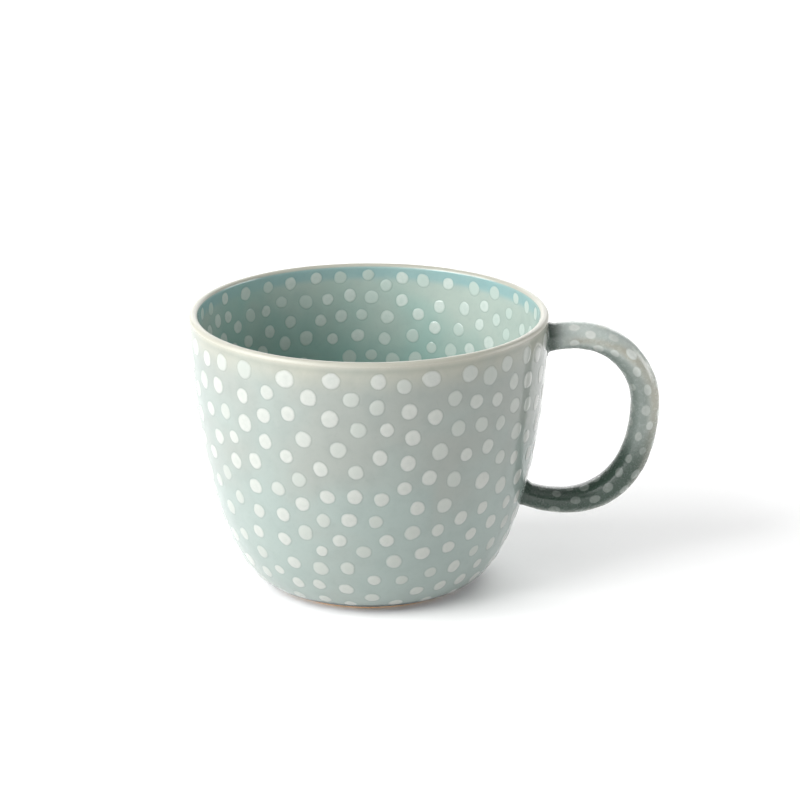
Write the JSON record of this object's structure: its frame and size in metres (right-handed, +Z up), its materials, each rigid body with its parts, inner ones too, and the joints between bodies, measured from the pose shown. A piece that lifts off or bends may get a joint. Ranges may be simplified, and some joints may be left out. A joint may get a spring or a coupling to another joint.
{
  "type": "stoneware mug",
  "caption": "Wide round-bellied stoneware mug with a ring handle, a celadon glaze and raised white slip dots inside, outside and on the handle.",
  "frame": {"origin": "on the cup's turning axis, in the plane of the foot that it stands on", "axes": "+Z up along the cup's axis, +X from the axis towards the handle, so the handle lies in the XZ plane"},
  "size_m": [0.1315, 0.1, 0.0783],
  "materials": {
    "stoneware": "bare fired clay on the foot, thin cream glaze over the lip",
    "luting_slip": "fired joining slip, hidden in the joints",
    "outside_glaze": "glossy grey-green celadon over raised off-white slip dots",
    "liner_glaze": "glossy teal celadon over raised off-white slip dots",
    "handle_glaze": "glossy dark celadon over raised off-white slip dots"
  },
  "bodies": {
    "root": {"cup_body": "stoneware", "handle": "stoneware", "upper_luting_slip": "luting_slip", "lower_luting_slip": "luting_slip", "outside_glaze": "outside_glaze", "liner_glaze": "liner_glaze", "handle_glaze": "handle_glaze"}
  },
  "joints": []
}
